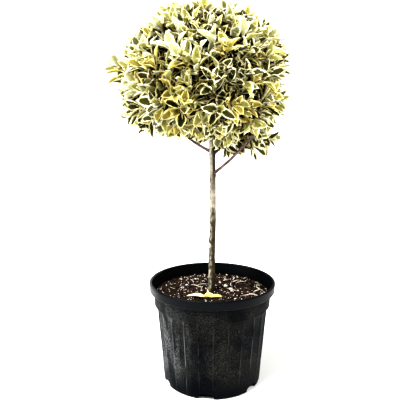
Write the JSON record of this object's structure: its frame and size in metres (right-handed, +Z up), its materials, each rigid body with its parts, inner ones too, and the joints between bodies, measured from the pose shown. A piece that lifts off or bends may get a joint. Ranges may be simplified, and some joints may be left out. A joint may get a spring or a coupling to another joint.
{
  "type": "potted standard japanese spindle",
  "caption": "Evergreen shrub trained as a standard: a ball of cream-edged leaves on a slender bare trunk, in a round tapered nursery pot.",
  "frame": {"origin": "on the ground under the middle of the pot, at the middle of its flat underside", "axes": "+Z up along the pot's axis and the trunk, -Y towards the side the picture shows, +X to the right in it"},
  "size_m": [0.4268, 0.4116, 0.8769],
  "materials": {
    "pot": "matte",
    "compost": "matte",
    "trunk_bark": "matte",
    "bough_bark": "matte",
    "leaves": "satin"
  },
  "bodies": {
    "root": {"pot": "pot", "soil": "compost", "trunk": "trunk_bark", "bough_low_left": "bough_bark", "bough_low_front": "bough_bark", "bough_low_front_right": "bough_bark", "bough_low_back_right": "bough_bark", "bough_low_back": "bough_bark", "bough_high_front_left": "bough_bark", "bough_high_front_right": "bough_bark", "bough_high_back_right": "bough_bark", "bough_high_back_left": "bough_bark", "foliage_low_left": "leaves", "foliage_low_front": "leaves", "foliage_low_front_right": "leaves", "foliage_low_back_right": "leaves", "foliage_low_back": "leaves", "foliage_high_front_left": "leaves", "foliage_high_front_right": "leaves", "foliage_high_back_right": "leaves", "foliage_high_back_left": "leaves", "foliage_top": "leaves"}
  },
  "joints": []
}
